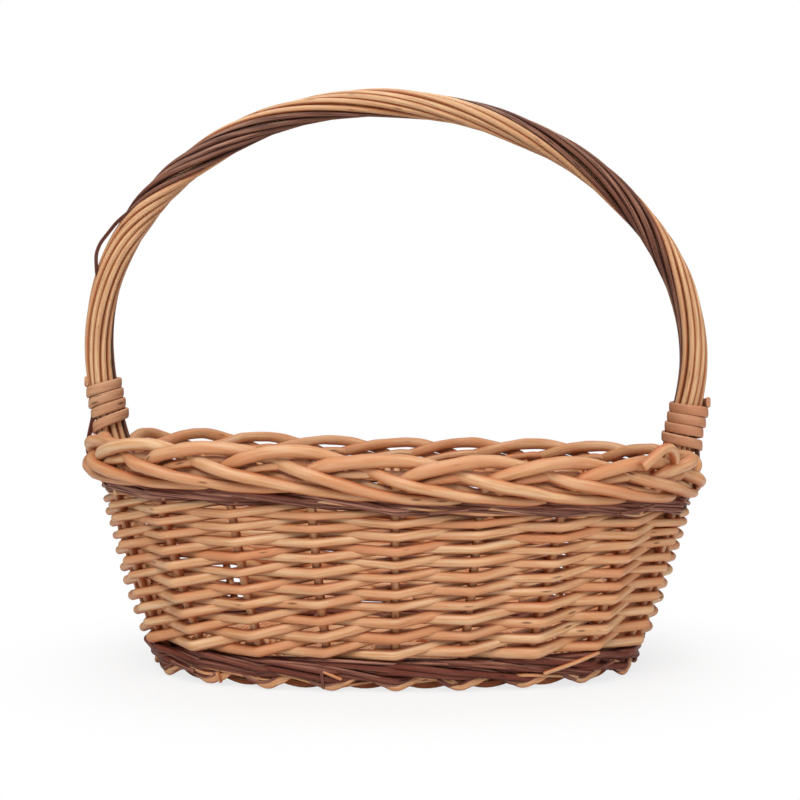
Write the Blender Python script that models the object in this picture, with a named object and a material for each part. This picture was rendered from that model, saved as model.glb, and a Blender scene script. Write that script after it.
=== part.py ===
"""Oval willow basket with a twisted hoop handle.

Every rod of the wall is its own solid: 22 stakes that rise from the base and turn down
into the plaited border, 22 tapering weavers of French randing between them, two wales,
the foot ring, the woven base, and a handle of eight rods laid round a bow.
Metres, +Z up, origin at the centre of the base on the floor, the long axis along X.
"""

import bpy
import bmesh
import numpy as np

# Plan of the base, on the line of the stakes
BASE_HALF_LENGTH = 0.142
BASE_HALF_WIDTH = 0.093
PLAN_EXPONENT = 2.6

# How far the stakes lean out, measured at the height of the top wale
FLARE = 0.0387
FLARE_HEIGHT = 0.109
FLARE_EXPONENT_SHARE = 0.77

# Rods
STAKE_PAIRS = 11
STAKE_RADIUS = 0.0026
WEAVER_BUTT_RADIUS = 0.0023
WEAVER_TIP_RADIUS = 0.0010
FOOT_RING_RADIUS = 0.00185
UPSET_RADIUS = 0.0024
TOP_WALE_RADIUS = 0.0012
BORDER_RADIUS = 0.00325

# Clearances between rods that touch on the real basket
ROD_GAP = 0.00035
WALE_GAP = 0.0006
BINDING_GAP = 0.0008
FLOOR_GAP = 0.0002

# Rods that cross between two stakes on a bend of the oval meet a little off the middle,
# so their layers stand this share of a rod apart
CROSSING_SHARE = 1.09

# Bend where a stake's root turns up, the share of it that its middle point has gone,
# and the base's clearance inside the foot ring
ROOT_BEND = 0.0025
ROOT_BEND_SHARE = 0.3
BASE_GAP = 0.0006

# The border stands out past the wall by this much
BORDER_OVERHANG = 0.004

# Base plate and the sticks that show as ridges on it
BASE_THICKNESS = 0.0088
BASE_EDGE_ROUND = 0.0012
STICK_RADIUS = 0.0034
STICK_PROUD = 0.0019
STICK_END_INSET = 0.006
STICK_SIDES = 8
CROSS_STICKS = 7
LONG_STICKS = 4
CROSS_STICK_PITCH = 0.032
LONG_STICK_PITCH = 0.016

# Handle
HANDLE_TOP = 0.358
HANDLE_SHOULDER = 0.200
HANDLE_HALF_SPAN = 0.1915
HANDLE_FOOT = 0.055
BOW_RADIUS = 0.0038
STRAND_RADIUS = 0.00225
STRANDS = 8
STRANDS_A_COLOUR = 2
STRAND_TURNS = 1.5
BINDING_RADIUS = 0.0025
BINDING_PITCH = 0.0066
BINDING_TURNS = 4.4
BINDING_RISE = 0.0065

# One stake's way through the border: stake spacings along the rim, offset from the line
# of the stakes in steps that clear a stake, and rise in steps of one border rod.
# It leans out over two rods, runs behind the next stake and comes down in front of two.
BORDER_SHARES = (
    (0.00, -0.06, 1.30),
    (0.07, 0.02, 2.20),
    (0.33, 0.56, 2.82),
    (0.62, 0.45, 3.34),
    (0.85, 0.00, 3.60),
    (1.08, -0.64, 3.52),
    (1.35, -0.76, 2.92),
    (1.55, -0.66, 2.36),
    (1.75, -0.08, 1.90),
    (1.96, 1.10, 1.52),
    (2.20, 1.20, 1.32),
    (2.50, 1.16, 1.02),
    (2.80, 1.20, 0.70),
    (3.08, 1.10, 0.52),
    (3.32, 0.38, 0.52),
)
BOW_SEAT_SHARE = 0.575
BORDER_TOP_SHARE = 3.60
BORDER_END_RADIUS_SHARE = 0.86

# Places of a riser's points up the wall, closer where it curves more
RISER_SHARES = (0.0, 0.08, 0.23, 0.45, 0.72, 1.0)

STAKES = 2 * STAKE_PAIRS
LAPS_OF_A_WALE = 3
TAIL_SHARE = 0.25

# How finely lines are followed
PLAN_SAMPLES = 1441
WRAP_ROUNDS = 4
LEG_SAMPLES = 24
TOP_SAMPLES = 80
BOW_STATIONS = 21
BOW_FOOT_STATIONS = 5
BINDING_POINTS_A_TURN = 12
BASE_OUTLINE_POINTS = 2 * STAKES
WELD_DISTANCE = 0.00001

# A wound rod is compared with itself from this many of its radii further along
APART_RADII = 8

# Heights, each row resting on the one below
RING_HEIGHT = FLOOR_GAP + FOOT_RING_RADIUS
RING_TOP = RING_HEIGHT + FOOT_RING_RADIUS
ROOT_HEIGHT = RING_TOP + ROD_GAP + STAKE_RADIUS
UPSET_STEP = 2 * UPSET_RADIUS * CROSSING_SHARE + WALE_GAP
UPSET_HEIGHT = max(RING_TOP + ROD_GAP + UPSET_RADIUS + UPSET_STEP,
                   ROOT_HEIGHT + STAKE_RADIUS + ROD_GAP + UPSET_RADIUS)
UPSET_TOP = UPSET_HEIGHT + UPSET_STEP + UPSET_RADIUS
LAYERS = STAKES - 2
RANDING_START = UPSET_TOP + ROD_GAP + WEAVER_BUTT_RADIUS
RANDING_RISE = LAYERS * ((WEAVER_BUTT_RADIUS + WEAVER_TIP_RADIUS) * CROSSING_SHARE + ROD_GAP)
RANDING_TOP = RANDING_START + RANDING_RISE + WEAVER_TIP_RADIUS
TOP_WALE_STEP = 2 * TOP_WALE_RADIUS * CROSSING_SHARE + WALE_GAP
TOP_WALE_HEIGHT = RANDING_TOP + ROD_GAP + TOP_WALE_RADIUS + TOP_WALE_STEP
BORDER_START = TOP_WALE_HEIGHT + TOP_WALE_STEP + TOP_WALE_RADIUS + ROD_GAP
BORDER_LIFT = 2 * BORDER_RADIUS + ROD_GAP
BORDER_STEP = STAKE_RADIUS + BORDER_RADIUS + ROD_GAP
BORDER_TOP = BORDER_START + BORDER_TOP_SHARE * BORDER_LIFT + BORDER_RADIUS

# Radii of the rope's layers, from its middle line
STRAND_OFFSET = BOW_RADIUS + ROD_GAP + STRAND_RADIUS
ROPE_RADIUS = STRAND_OFFSET + STRAND_RADIUS
BINDING_OFFSET = ROPE_RADIUS + BINDING_GAP + BINDING_RADIUS

NATURAL = (0.61, 0.33, 0.16)
DARK = (0.115, 0.052, 0.040)
HANDLE_NATURAL = (0.50, 0.27, 0.12)
HANDLE_DARK = (0.10, 0.045, 0.025)


def make_material(name, colour, roughness):
    """A plain finish with the colour of the rods."""
    material = bpy.data.materials.new(name)
    material.use_nodes = True
    shader = material.node_tree.nodes["Principled BSDF"]
    shader.inputs["Base Color"].default_value = (*colour, 1.0)
    shader.inputs["Roughness"].default_value = roughness
    shader.inputs["Metallic"].default_value = 0.0
    return material


def lean_out(height):
    """Outward shift of the stakes at a height, steep at the foot and easing upwards."""
    return FLARE * (height / FLARE_HEIGHT) ** FLARE_EXPONENT_SHARE


def lean_slope(height):
    """Slope of the stakes at a height, outward over upward."""
    return FLARE_EXPONENT_SHARE * lean_out(height) / height


def overhang(height):
    """Extra outward shift of the border, which grows over its lowest rods."""
    share = np.clip((height - BORDER_START) / BORDER_LIFT, 0, 1)
    return BORDER_OVERHANG * share ** 2 * (3 - 2 * share)


def base_inset():
    """Where the base plate ends, from the base line: just inside the foot ring."""
    return lean_out(RING_HEIGHT) - STAKE_RADIUS - 2 * FOOT_RING_RADIUS - ROD_GAP - BASE_GAP


def plan_point(share, half_length, half_width):
    """Point and outward normal on the oval, at a share of its way round from the front."""
    angle = np.linspace(0, 2 * np.pi, PLAN_SAMPLES)
    power = 2 / PLAN_EXPONENT
    x = half_length * np.sign(np.sin(angle)) * np.abs(np.sin(angle)) ** power
    y = -half_width * np.sign(np.cos(angle)) * np.abs(np.cos(angle)) ** power
    way = np.concatenate(([0], np.cumsum(np.hypot(np.diff(x), np.diff(y)))))
    place = (share % 1) * way[-1]
    point = np.array((np.interp(place, way, x), np.interp(place, way, y)))
    half = np.array((half_length, half_width))
    normal = np.sign(point) * np.abs(point / half) ** (PLAN_EXPONENT - 1) / half
    return point, normal / np.linalg.norm(normal)


def wall_point(stake, offset, height, shift=0):
    """Point on the wall: stake number, offset outwards from the stakes, and height."""
    out = lean_out(height) + shift
    point, normal = plan_point(stake / STAKES, BASE_HALF_LENGTH + out, BASE_HALF_WIDTH + out)
    point = point + normal * offset
    return (point[0], point[1], height)


def wrap_offset(stake, side, height, reach):
    """Offset at which a rod that bends round a stake clears it, for side 1 or -1.

    The reach between the two middle lines is divided by the cosine of the wall's lean and
    by that of half the rod's bend, which is its swing from side to side and the oval's turn.
    """
    out = lean_out(height)
    places = [plan_point((stake + step) / STAKES, BASE_HALF_LENGTH + out, BASE_HALF_WIDTH + out)
              for step in (-1, 1)]
    (before, normal_before), (after, normal_after) = places
    spacing = np.linalg.norm(after - before) / 2
    turn = np.arccos(np.clip(normal_before @ normal_after, -1, 1)) / 2
    lean = np.arctan(lean_slope(height - reach * lean_slope(height)))
    offset = reach
    for _ in range(WRAP_ROUNDS):
        half_bend = max(np.arctan(2 * offset / spacing) + side * turn / 2, 0)
        offset = reach / (np.cos(lean) * np.cos(half_bend))
    return side * offset


def make_rod(name, points, radii, material, collection, cyclic=False):
    """A willow rod: a bevelled poly curve whose radius follows its points."""
    curve = bpy.data.curves.new(name, "CURVE")
    curve.dimensions = "3D"
    curve.bevel_depth = max(radii)
    curve.bevel_resolution = 1
    curve.use_fill_caps = True
    spline = curve.splines.new("POLY")
    spline.points.add(len(points) - 1)
    for target, point, radius in zip(spline.points, points, radii):
        target.co = (*point, 1)
        target.radius = radius / max(radii)
    spline.use_cyclic_u = cyclic
    spline.use_smooth = True
    rod = bpy.data.objects.new(name, curve)
    curve.materials.append(material)
    collection.objects.link(rod)
    return rod


def least_gap(name, points, radius, apart, cyclic=False):
    """Print the least gap of a wound rod to itself, on points set close along it."""
    points = np.array(points)
    if cyclic:
        points = np.vstack((points, points[:1]))
    step = np.linalg.norm(np.diff(points, axis=0), axis=1)
    way = np.concatenate(([0], np.cumsum(step)))
    fine = np.arange(0, way[-1], radius)
    dense = np.stack([np.interp(fine, way, points[:, axis]) for axis in range(3)], axis=1)
    distance = np.linalg.norm(dense[:, None] - dense[None], axis=2)
    along = np.abs(fine[:, None] - fine[None])
    if cyclic:
        along = np.minimum(along, way[-1] - along)
    gap = distance[along > apart].min() - 2 * radius
    print(f"{name}: least gap to itself {gap * 1000:.2f} mm")


def make_stake(number, material, collection):
    """One stake: root at the base, bend, leaning riser, and its way through the border."""
    root_end = base_inset() + ROD_GAP - lean_out(ROOT_HEIGHT)
    points = [wall_point(number, root_end, ROOT_HEIGHT),
              wall_point(number, -ROOT_BEND, ROOT_HEIGHT),
              wall_point(number, -ROOT_BEND * ROOT_BEND_SHARE,
                         ROOT_HEIGHT + ROOT_BEND * ROOT_BEND_SHARE)]
    foot = ROOT_HEIGHT + ROOT_BEND
    for share in RISER_SHARES:
        points.append(wall_point(number, 0, foot + (BORDER_START - foot) * share))
    radii = [STAKE_RADIUS] * len(points)
    for along, offset, rise in BORDER_SHARES:
        height = BORDER_START + rise * BORDER_LIFT
        points.append(wall_point(number + along, offset * BORDER_STEP, height, overhang(height)))
        radii.append(BORDER_RADIUS)
    radii[len(radii) - len(BORDER_SHARES)] = STAKE_RADIUS
    radii[-1] = BORDER_RADIUS * BORDER_END_RADIUS_SHARE
    return make_rod(f"stake_{number + 1:02d}", points, radii, material, collection)


def weaver_radius(layer):
    """Radius of a weaver on a layer, thick at the butt and thin at the tip."""
    return WEAVER_BUTT_RADIUS + (WEAVER_TIP_RADIUS - WEAVER_BUTT_RADIUS) * layer / LAYERS


def weaver_height(layer):
    """Height of a weaver's middle, each layer resting on the one below."""
    mean_radius = (WEAVER_BUTT_RADIUS + weaver_radius(layer)) / 2
    return RANDING_START + layer * (2 * mean_radius * CROSSING_SHARE + ROD_GAP)


def weaver_point(number, layer, along=0):
    """Point of a weaver at a stake, behind it on even layers and before it on odd ones."""
    side = 1 if layer % 2 else -1
    height = weaver_height(layer)
    reach = STAKE_RADIUS + weaver_radius(layer) + ROD_GAP
    return wall_point(number + layer + along, wrap_offset(number + layer, side, height, reach),
                      height)


def make_weaver(number, material, collection):
    """One weaver: in behind its own stake, out before the next, and so on up the wall."""
    points = [weaver_point(number, 0, along=-TAIL_SHARE)]
    points += [weaver_point(number, layer) for layer in range(LAYERS + 1)]
    points.append(weaver_point(number, LAYERS, along=TAIL_SHARE))
    radii = [weaver_radius(layer) for layer in (0, *range(LAYERS + 1), LAYERS)]
    return make_rod(f"weaver_{number + 1:02d}", points, radii, material, collection)


def make_wale(name, height, radius, step, material, collection):
    """A three-rod wale as one closed rod three times round: behind one, before two.

    Stakes take its three phases in turn, which needs a count that three does not divide.
    """
    phases = ((-1, 0), (1, step), (1, -step))
    points = []
    for place in range(LAPS_OF_A_WALE * STAKES):
        side, rise = phases[place % LAPS_OF_A_WALE]
        offset = wrap_offset(place, side, height + rise, STAKE_RADIUS + radius + ROD_GAP)
        points.append(wall_point(place, offset, height + rise))
    least_gap(name, points, radius, apart=APART_RADII * radius, cyclic=True)
    return make_rod(name, points, [radius] * len(points), material, collection, cyclic=True)


def make_foot_ring(material, collection):
    """The lowest rod: under the root of one stake, then outside the next."""
    reach = STAKE_RADIUS + FOOT_RING_RADIUS + ROD_GAP
    points = [wall_point(place, reach * (1 if place % 2 else -1), RING_HEIGHT)
              for place in range(STAKES)]
    return make_rod("foot_ring", points, [FOOT_RING_RADIUS] * STAKES, material, collection,
                    cyclic=True)


def as_mesh_object(source, name, collection):
    """The evaluated curve as a mesh object in the same place, with its caps welded."""
    bpy.context.view_layer.update()
    evaluated = source.evaluated_get(bpy.context.evaluated_depsgraph_get())
    mesh = bpy.data.meshes.new_from_object(evaluated)
    cleaner = bmesh.new()
    cleaner.from_mesh(mesh)
    bmesh.ops.remove_doubles(cleaner, verts=cleaner.verts, dist=WELD_DISTANCE)
    cleaner.to_mesh(mesh)
    cleaner.free()
    made = bpy.data.objects.new(name, mesh)
    made.matrix_world = source.matrix_world.copy()
    collection.objects.link(made)
    bpy.data.objects.remove(source)
    return made


def make_stick(name, half_length, place, along_x, collection):
    """One base stick as a hidden guide cylinder, for a union with the plate."""
    mesh = bpy.data.meshes.new(name)
    maker = bmesh.new()
    bmesh.ops.create_cone(maker, cap_ends=True, segments=STICK_SIDES, radius1=STICK_RADIUS,
                          radius2=STICK_RADIUS, depth=2 * half_length)
    maker.to_mesh(mesh)
    maker.free()
    stick = bpy.data.objects.new(name, mesh)
    height = BASE_THICKNESS + STICK_PROUD - STICK_RADIUS
    stick.location = (0, place, height) if along_x else (place, 0, height)
    stick.rotation_euler = (0, np.pi / 2, 0) if along_x else (np.pi / 2, 0, 0)
    stick.hide_render = True
    stick.display_type = "WIRE"
    collection.objects.link(stick)
    return stick


def make_base(material, collection, guides):
    """The oval base: a plate with cross sticks and long sticks that stand proud inside."""
    half_length = BASE_HALF_LENGTH + base_inset()
    half_width = BASE_HALF_WIDTH + base_inset()
    outline = bpy.data.curves.new("base_outline", "CURVE")
    outline.dimensions = "2D"
    outline.fill_mode = "BOTH"
    outline.extrude = BASE_THICKNESS / 2 - BASE_EDGE_ROUND
    outline.bevel_depth = BASE_EDGE_ROUND
    outline.bevel_resolution = 1
    outline.offset = -BASE_EDGE_ROUND
    spline = outline.splines.new("POLY")
    spline.points.add(BASE_OUTLINE_POINTS - 1)
    for place, target in enumerate(spline.points):
        point, _ = plan_point(place / BASE_OUTLINE_POINTS, half_length, half_width)
        target.co = (*point, 0, 1)
    spline.use_cyclic_u = True
    plate = bpy.data.objects.new("base_outline", outline)
    plate.location = (0, 0, BASE_THICKNESS / 2)
    collection.objects.link(plate)
    base = as_mesh_object(plate, "woven_base", collection)
    base.data.materials.clear()
    base.data.materials.append(material)
    for index in range(CROSS_STICKS):
        place = (index - (CROSS_STICKS - 1) / 2) * CROSS_STICK_PITCH
        reach = half_width * (1 - (abs(place) / half_length) ** PLAN_EXPONENT) ** (1 / PLAN_EXPONENT)
        stick = make_stick(f"cross_stick_{index + 1}", reach - STICK_END_INSET, place, False, guides)
        join_stick(base, stick)
    for index in range(LONG_STICKS):
        place = (index - (LONG_STICKS - 1) / 2) * LONG_STICK_PITCH
        reach = half_length * (1 - (abs(place) / half_width) ** PLAN_EXPONENT) ** (1 / PLAN_EXPONENT)
        stick = make_stick(f"long_stick_{index + 1}", reach - STICK_END_INSET, place, True, guides)
        join_stick(base, stick)
    return base


def join_stick(base, stick):
    """Unite one stick with the base plate."""
    union = base.modifiers.new(stick.name, "BOOLEAN")
    union.operation = "UNION"
    union.object = stick
    union.solver = "EXACT"


def bow_path():
    """Middle line of the handle from left foot to right foot, set close, in the XZ plane.

    Each leg follows the inside of the wall up to the border, eases out to the shoulder
    on a cubic, and the top is half an ellipse.
    """
    inset = (BOW_RADIUS + ROD_GAP
             + max(WEAVER_BUTT_RADIUS, BORDER_RADIUS + BOW_SEAT_SHARE * BORDER_STEP - BORDER_OVERHANG))
    last_before_end = STAKES // 4
    leg_heights = np.linspace(HANDLE_FOOT, BORDER_TOP, LEG_SAMPLES)
    leg = []
    for height in leg_heights:
        before = np.array(wall_point(last_before_end, 0, height))
        after = np.array(wall_point(last_before_end + 1, 0, height))
        leg.append((before[0] + after[0]) / 2 - inset)
    leg = np.array(leg)
    slope = (leg[-1] - leg[-2]) / (leg_heights[-1] - leg_heights[-2])
    rise = HANDLE_SHOULDER - BORDER_TOP
    share = np.linspace(0, 1, LEG_SAMPLES)[1:]
    ease_x = ((2 * share ** 3 - 3 * share ** 2 + 1) * leg[-1]
              + (share ** 3 - 2 * share ** 2 + share) * slope * rise
              + (3 * share ** 2 - 2 * share ** 3) * HANDLE_HALF_SPAN)
    angle = np.linspace(0, np.pi / 2, TOP_SAMPLES)[1:]
    x = np.concatenate((leg, ease_x, HANDLE_HALF_SPAN * np.cos(angle)))
    z = np.concatenate((leg_heights, BORDER_TOP + share * rise,
                        HANDLE_SHOULDER + (HANDLE_TOP - HANDLE_SHOULDER) * np.sin(angle)))
    x = np.concatenate((-x, x[-2::-1]))
    z = np.concatenate((z, z[-2::-1]))
    return x, z


def rope_point(path, way, angle, radius):
    """Point beside the handle's middle line: way along it, angle round it, radius."""
    x, z = path
    lengths = np.concatenate(([0], np.cumsum(np.hypot(np.diff(x), np.diff(z)))))
    middle = np.array((np.interp(way, lengths, x), np.interp(way, lengths, z)))
    step = STRAND_RADIUS
    ahead = np.array((np.interp(way + step, lengths, x), np.interp(way + step, lengths, z)))
    behind = np.array((np.interp(way - step, lengths, x), np.interp(way - step, lengths, z)))
    tangent = (ahead - behind) / np.linalg.norm(ahead - behind)
    side = np.array((-tangent[1], tangent[0]))
    point = middle + side * np.cos(angle) * radius
    return (point[0], np.sin(angle) * radius, point[1])


def way_at_height(path, height):
    """Length along the handle's middle line where its left leg passes a height."""
    x, z = path
    lengths = np.concatenate(([0], np.cumsum(np.hypot(np.diff(x), np.diff(z)))))
    rising = np.arange(len(z) // 2)
    return np.interp(height, z[rising], lengths[rising]), lengths[-1]


def make_handle(finishes, collection):
    """The bow, the eight rods laid round it and the two bindings at its feet."""
    path = bow_path()
    seat = BORDER_TOP + ROD_GAP + ROPE_RADIUS * lean_slope(BORDER_TOP)
    start, total = way_at_height(path, seat)
    core = [rope_point(path, way, 0, 0)
            for way in np.concatenate((np.linspace(0, start, BOW_FOOT_STATIONS)[:-1],
                                       np.linspace(start, total - start, BOW_STATIONS),
                                       np.linspace(total - start, total, BOW_FOOT_STATIONS)[1:]))]
    make_rod("handle_bow", core, [BOW_RADIUS] * len(core), finishes["handle_natural"], collection)
    stations = np.linspace(start, total - start, BOW_STATIONS)
    for index in range(STRANDS):
        first = 2 * np.pi * index / STRANDS
        turn = 2 * np.pi * STRAND_TURNS * (stations - start) / (total - 2 * start)
        points = [rope_point(path, way, first + angle, STRAND_OFFSET)
                  for way, angle in zip(stations, turn)]
        dark = index // STRANDS_A_COLOUR % 2 == 1
        finish = finishes["handle_dark"] if dark else finishes["handle_natural"]
        make_rod(f"handle_strand_{index + 1}", points, [STRAND_RADIUS] * len(points), finish,
                 collection)
    for name, mirrored in (("left_binding", False), ("right_binding", True)):
        make_binding(name, path, start + BINDING_RISE, total, mirrored, finishes, collection)


def make_binding(name, path, start, total, mirrored, finishes, collection):
    """A rod wound round the handle's foot, its ends straight for one diameter."""
    count = int(BINDING_TURNS * BINDING_POINTS_A_TURN) + 1
    turn = np.linspace(0, BINDING_TURNS, count)
    ways = start + turn * BINDING_PITCH
    if mirrored:
        ways = total - ways
    angles = 2 * np.pi * turn + np.pi / 2
    points = [np.array(rope_point(path, way, angle, BINDING_OFFSET))
              for way, angle in zip(ways, angles)]
    for end, inner in ((0, 1), (-1, -2)):
        run = points[end] - points[inner]
        tail = points[end] + run / np.linalg.norm(run) * 2 * BINDING_RADIUS
        points = [tail, *points] if end == 0 else [*points, tail]
    least_gap(name, points, BINDING_RADIUS, apart=BINDING_PITCH * np.pi)
    return make_rod(name, [tuple(point) for point in points], [BINDING_RADIUS] * len(points),
                    finishes["handle_natural"], collection)


def build():
    """Clear the scene and make every piece of the basket."""
    for leftover in list(bpy.data.objects):
        bpy.data.objects.remove(leftover)
    basket = bpy.data.collections.new("foraging_basket")
    guides = bpy.data.collections.new("guides")
    bpy.context.scene.collection.children.link(basket)
    bpy.context.scene.collection.children.link(guides)
    finishes = {
        "natural": make_material("natural_willow", NATURAL, 0.5),
        "dark": make_material("dark_willow", DARK, 0.45),
        "handle_natural": make_material("natural_handle_rod", HANDLE_NATURAL, 0.45),
        "handle_dark": make_material("dark_handle_rod", HANDLE_DARK, 0.45),
    }
    make_base(finishes["natural"], basket, guides)
    make_foot_ring(finishes["natural"], basket)
    make_wale("upset_wale", UPSET_HEIGHT, UPSET_RADIUS, UPSET_STEP, finishes["dark"], basket)
    make_wale("top_wale", TOP_WALE_HEIGHT, TOP_WALE_RADIUS, TOP_WALE_STEP, finishes["dark"],
              basket)
    for number in range(STAKES):
        make_stake(number, finishes["natural"], basket)
        make_weaver(number, finishes["natural"], basket)
    make_handle(finishes, basket)


build()
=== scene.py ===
# %% [markdown]
# A willow foraging basket is a job of bending rods, so nearly everything here is one idea:
# a line in space with a thickness. Each cell works out where one kind of rod runs, and one
# shared helper turns that line into a mesh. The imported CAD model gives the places.

import bpy
import numpy as np
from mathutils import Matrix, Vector


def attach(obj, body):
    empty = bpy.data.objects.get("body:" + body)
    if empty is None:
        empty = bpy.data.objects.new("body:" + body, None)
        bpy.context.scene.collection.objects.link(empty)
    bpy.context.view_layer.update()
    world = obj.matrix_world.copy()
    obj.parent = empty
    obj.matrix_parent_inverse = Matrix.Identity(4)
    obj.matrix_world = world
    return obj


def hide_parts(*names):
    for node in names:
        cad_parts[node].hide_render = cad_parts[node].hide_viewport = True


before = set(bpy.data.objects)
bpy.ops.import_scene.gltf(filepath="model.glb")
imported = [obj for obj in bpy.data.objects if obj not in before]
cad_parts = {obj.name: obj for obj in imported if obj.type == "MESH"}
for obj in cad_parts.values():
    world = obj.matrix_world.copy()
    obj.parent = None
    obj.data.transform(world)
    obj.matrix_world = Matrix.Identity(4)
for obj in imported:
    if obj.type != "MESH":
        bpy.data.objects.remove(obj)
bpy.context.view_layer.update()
draw = np.random.default_rng(22)
print("CAD nodes:", len(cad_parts))

# %% [markdown]
# The rods stand on an oval that is fuller than an ellipse. Its formula is a superellipse,
# and the stakes stand at equal distances round it, so a table turns "this share of the way
# round" into a point. The wall leans out, fast at the foot and slower towards the rim.

# %% The oval and the leaning wall
STAKES = 22
HALF_LENGTH, HALF_WIDTH, FULLNESS = 0.142, 0.093, 2.6
FLARE, FLARE_HEIGHT, FLARE_POWER = 0.0387, 0.109, 0.77
LEAST_HEIGHT = 0.0004
LIFT_FROM, LIFT_FULL = 0.055, 0.105
LIFT_STAKES = (0.0, 10.0, 11.0, 12.0, 13.0, 14.0, 15.0, 16.5, 18.0, 20.0, 21.0, 21.6, 22.0)
LIFT_HEIGHTS = (0.0, 0.0, -0.0008, 0.0004, 0.0026, 0.0048, 0.0060, 0.0058, 0.0056, 0.0055, 0.0046,
                0.0014, 0.0)
OUTS = np.linspace(-0.085, 0.07, 63)
ROUND_POINTS = 2881
SHARES = np.linspace(0, 1, ROUND_POINTS)


def oval_table():
    """Points of every oval in OUTS at equal shares of its length: x = a sin^p, y = -b cos^p."""
    angle = np.linspace(0, 2 * np.pi, ROUND_POINTS)
    power = 2 / FULLNESS
    unit_x = np.sign(np.sin(angle)) * np.abs(np.sin(angle)) ** power
    unit_y = -np.sign(np.cos(angle)) * np.abs(np.cos(angle)) ** power
    rows = []
    for out in OUTS:
        x, y = (HALF_LENGTH + out) * unit_x, (HALF_WIDTH + out) * unit_y
        way = np.concatenate(([0], np.cumsum(np.hypot(np.diff(x), np.diff(y)))))
        rows.append(np.stack([np.interp(SHARES * way[-1], way, axis) for axis in (x, y)], axis=1))
    return np.array(rows)


OVAL = oval_table()


def lean_out(height):
    """Outward lean: flare times (height over flare height) to a power below one."""
    return FLARE * (np.maximum(height, LEAST_HEIGHT) / FLARE_HEIGHT) ** FLARE_POWER


def on_oval(stake, out):
    """Point and outward normal at a stake number on the oval grown by out, read between rows."""
    stake, out = np.broadcast_arrays(np.asarray(stake, float), np.asarray(out, float))
    row = np.clip((out - OUTS[0]) / (OUTS[1] - OUTS[0]), 0, len(OUTS) - 1.001)
    column = (stake / STAKES % 1) * (ROUND_POINTS - 1)
    r, c = row.astype(int), np.minimum(column.astype(int), ROUND_POINTS - 2)
    fr, fc = (row - r)[..., None], (column - c)[..., None]
    point = ((1 - fr) * ((1 - fc) * OVAL[r, c] + fc * OVAL[r, c + 1])
             + fr * ((1 - fc) * OVAL[r + 1, c] + fc * OVAL[r + 1, c + 1]))
    half = np.stack([HALF_LENGTH + out, HALF_WIDTH + out], axis=-1)
    normal = np.sign(point) * np.abs(point / half) ** (FULLNESS - 1) / half
    return point, normal / np.linalg.norm(normal, axis=-1, keepdims=True)


def left_lift(stake, height):
    """How much higher the left half stands: a table round the rim, times a ramp up the wall."""
    round_rim = np.interp(stake % STAKES, LIFT_STAKES, LIFT_HEIGHTS)
    return round_rim * np.clip((height - LIFT_FROM) / (LIFT_FULL - LIFT_FROM), 0, 1)


def on_wall(stake, height, offset=0.0, shift=0.0):
    """Points on the leaning wall: the oval at that height, moved along its normal by offset."""
    stake, height, offset = np.broadcast_arrays(np.asarray(stake, float), height, offset)
    point, normal = on_oval(stake, lean_out(height) + shift)
    up = height + left_lift(stake, height)
    return np.concatenate((point + normal * offset[..., None], up[..., None]), axis=-1)


wall_top = on_wall(np.linspace(0, STAKES, ROUND_POINTS), FLARE_HEIGHT)
top_length = np.linalg.norm(np.diff(wall_top, axis=0), axis=1).sum()
print("round the top of the wall:", round(float(top_length), 3), "m")

# %% [markdown]
# Hand-made baskets settle. This one is a little lower on the right, at the rim and at the
# handle alike, so one small shear is given to every line before it becomes a rod. Willow
# also bends in curves, never in corners, so a line through a few places is softened first.

# %% Settled and softened lines
SETTLE = 0.11
LEAST_RADIUS = 0.0003
OUTWARD_LENGTH, OUTWARD_WIDTH = 0.19, 0.14


def settled(points):
    """Lower to the right: height times (1 - SETTLE x)."""
    points = np.array(points, float)
    points[:, 2] *= 1 - SETTLE * points[:, 0]
    return points


def soften(points, radii, window=0.011, spacing=0.0018, closed=False):
    """Even steps along a line, each the bell-weighted mean of its neighbours in the window."""
    points = np.asarray(points, float)
    radii = np.broadcast_to(radii, len(points)).astype(float)
    if closed:
        points, radii = np.vstack((points, points[:1])), np.append(radii, radii[0])
    way = np.concatenate(([0], np.cumsum(np.linalg.norm(np.diff(points, axis=0), axis=1))))
    at = np.linspace(0, way[-1], max(int(way[-1] / spacing), 8) + 1)
    table = np.column_stack([np.interp(at, way, column) for column in (*points.T, radii)])
    reach = max(int(window / spacing / 2), 1)
    if closed:
        table = table[:-1]
        padded = np.vstack((table[-reach:], table, table[:reach]))
    else:
        reach = min(reach, len(table) - 1)
        padded = np.vstack((2 * table[0] - table[reach:0:-1], table,
                            2 * table[-1] - table[-2:-reach - 2:-1]))
    bell = np.hanning(2 * reach + 3)[1:-1]
    bell /= bell.sum()
    table = np.column_stack([np.convolve(column, bell, "valid") for column in padded.T])
    return table[:, :3], np.maximum(table[:, 3], LEAST_RADIUS)


def outward(points):
    """Level direction away from the basket's middle, used to set a wall rod's rings."""
    away = np.column_stack((points[:, 0] / OUTWARD_LENGTH, points[:, 1] / OUTWARD_WIDTH,
                            np.zeros(len(points))))
    return away / np.maximum(np.linalg.norm(away, axis=1, keepdims=True), 1e-9)


corner, _ = soften([(0.0, 0.0, 0.0), (0.05, 0.0, 0.0), (0.05, 0.05, 0.0)], LEAST_RADIUS)
print("a softened corner has", len(corner), "points")

# %% [markdown]
# A rod is a tube: rings of points round its line, closed with a cut end at each tip. A curve
# with a bevel would do it too, but arrays of rings also give a map that holds the length
# along the rod and the share of the way round, which the grain needs.

# %% A rod's rings and faces
SIDES, CUT_BEVEL, CUT_SHRINK = 12, 0.16, 0.86


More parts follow.
